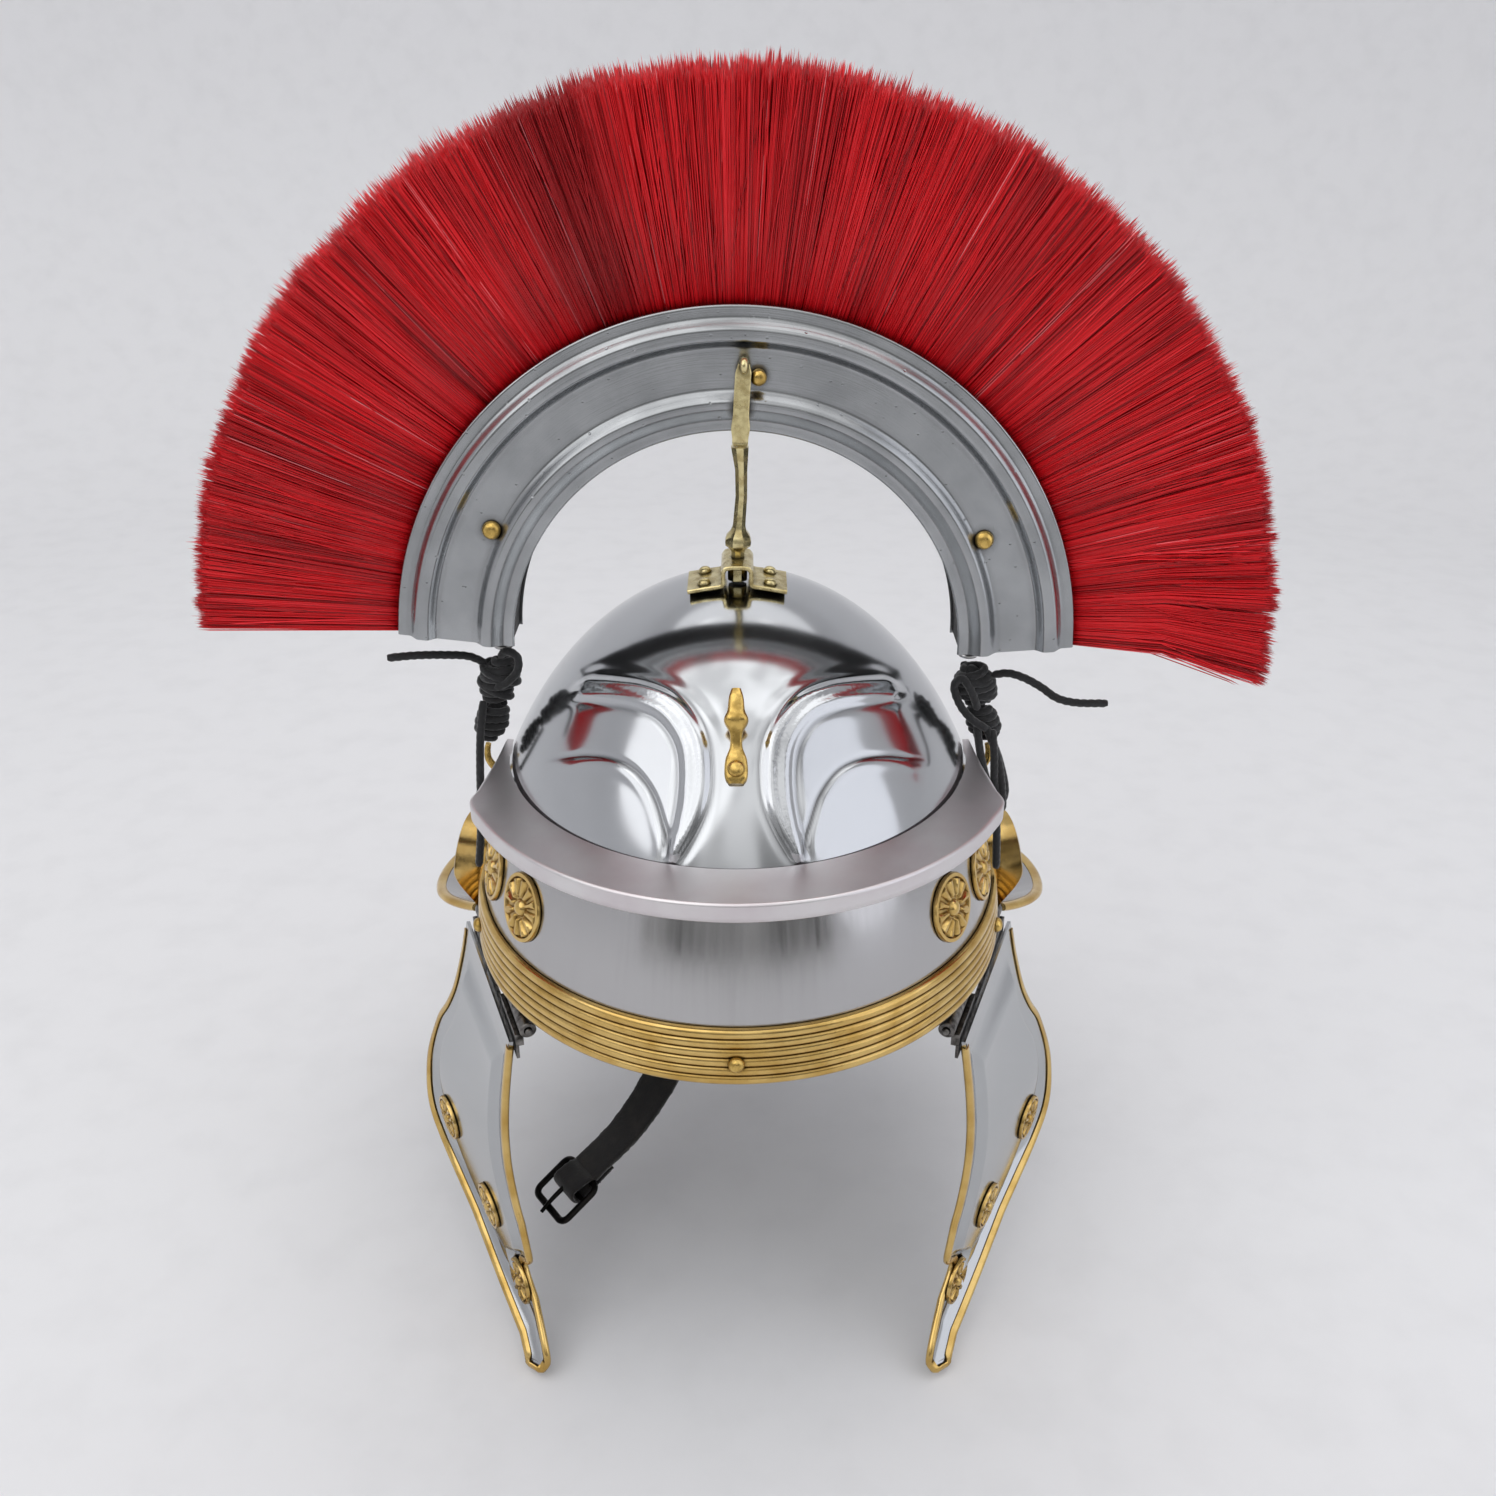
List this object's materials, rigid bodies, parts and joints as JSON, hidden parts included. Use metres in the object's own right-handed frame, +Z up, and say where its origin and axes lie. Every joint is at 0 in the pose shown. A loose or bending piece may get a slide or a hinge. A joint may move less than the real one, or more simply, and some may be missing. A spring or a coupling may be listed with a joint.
{
  "type": "roman legionary helmet",
  "caption": "Steel infantry helmet with a transverse bristle crest on a forked holder, brass edging and rosettes, hinged cheek guards, a flared neck guard, tie cords and a chin strap.",
  "frame": {"origin": "centre of the head opening, in the plane of the front rim", "axes": "+Z up through the crown, -Y the way the wearer faces, +X towards the wearer's left, along the crest"},
  "size_m": [0.4101, 0.3012, 0.4922],
  "materials": {
    "polished_steel": "mirror polished",
    "brushed_steel": "fine brushed",
    "satin_steel": "satin",
    "dark_steel": "darkened",
    "polished_brass": "polished",
    "cast_brass": "cast, aged",
    "black_wood": "black paint",
    "red_bristle": "dyed bristle",
    "black_cord": "braided",
    "black_leather": "suede",
    "black_buckle": "black enamel"
  },
  "bodies": {
    "root": {"bowl": "polished_steel", "brow_guard": "satin_steel", "rim_trim": "polished_brass", "neck_trim": "polished_brass", "front_hook": "cast_brass", "rim_rivet_front": "cast_brass", "rim_rivet_left": "cast_brass", "rim_rivet_right": "cast_brass", "ear_guard_left": "polished_brass", "ear_guard_right": "polished_brass", "side_hook_left": "cast_brass", "side_hook_right": "cast_brass", "rosette_brow_left": "polished_brass", "rosette_brow_right": "polished_brass", "rosette_ear_left": "polished_brass", "rosette_ear_right": "polished_brass", "hinge_fixed_left": "brushed_steel", "hinge_fixed_right": "brushed_steel", "hinge_pin_left": "dark_steel", "hinge_pin_right": "dark_steel", "crest_bracket": "cast_brass", "crest_fork": "cast_brass", "crest_core": "black_wood", "plume": "red_bristle", "crest_plate_front": "brushed_steel", "crest_plate_back": "brushed_steel", "fork_bolt_front": "cast_brass", "fork_bolt_back": "cast_brass", "crest_rivet_front_left": "cast_brass", "crest_rivet_front_right": "cast_brass", "crest_rivet_back_left": "cast_brass", "crest_rivet_back_right": "cast_brass", "crest_eyelet_left": "brushed_steel", "crest_eyelet_right": "brushed_steel", "cord_left_knot": "black_cord", "cord_right_knot": "black_cord", "cord_left_tail": "black_cord", "cord_left_loop": "black_cord", "cord_right_end": "black_cord", "cord_right_tail": "black_cord", "chin_strap": "black_leather", "strap_buckle": "black_buckle", "strap_rivet": "cast_brass"},
    "cheek_left": {"hinge_swing_left": "dark_steel", "cheek_plate_left": "polished_steel", "cheek_trim_left": "polished_brass", "rosette_upper_left": "polished_brass", "rosette_middle_left": "polished_brass", "rosette_lower_left": "polished_brass"},
    "cheek_right": {"hinge_swing_right": "dark_steel", "cheek_plate_right": "polished_steel", "cheek_trim_right": "polished_brass", "rosette_upper_right": "polished_brass", "rosette_middle_right": "polished_brass", "rosette_lower_right": "polished_brass"}
  },
  "joints": [
    {"name": "cheek_left_hinge", "type": "hinge", "parent": "root", "child": "cheek_left", "pos_m": [-0.0935, -0.043, -0.007], "axis": [-0.3391, 0.9407, 0], "range_deg": [-6, 75]},
    {"name": "cheek_right_hinge", "type": "hinge", "parent": "root", "child": "cheek_right", "pos_m": [0.0935, -0.043, -0.007], "axis": [-0.3391, -0.9407, 0], "range_deg": [-6, 75]}
  ]
}
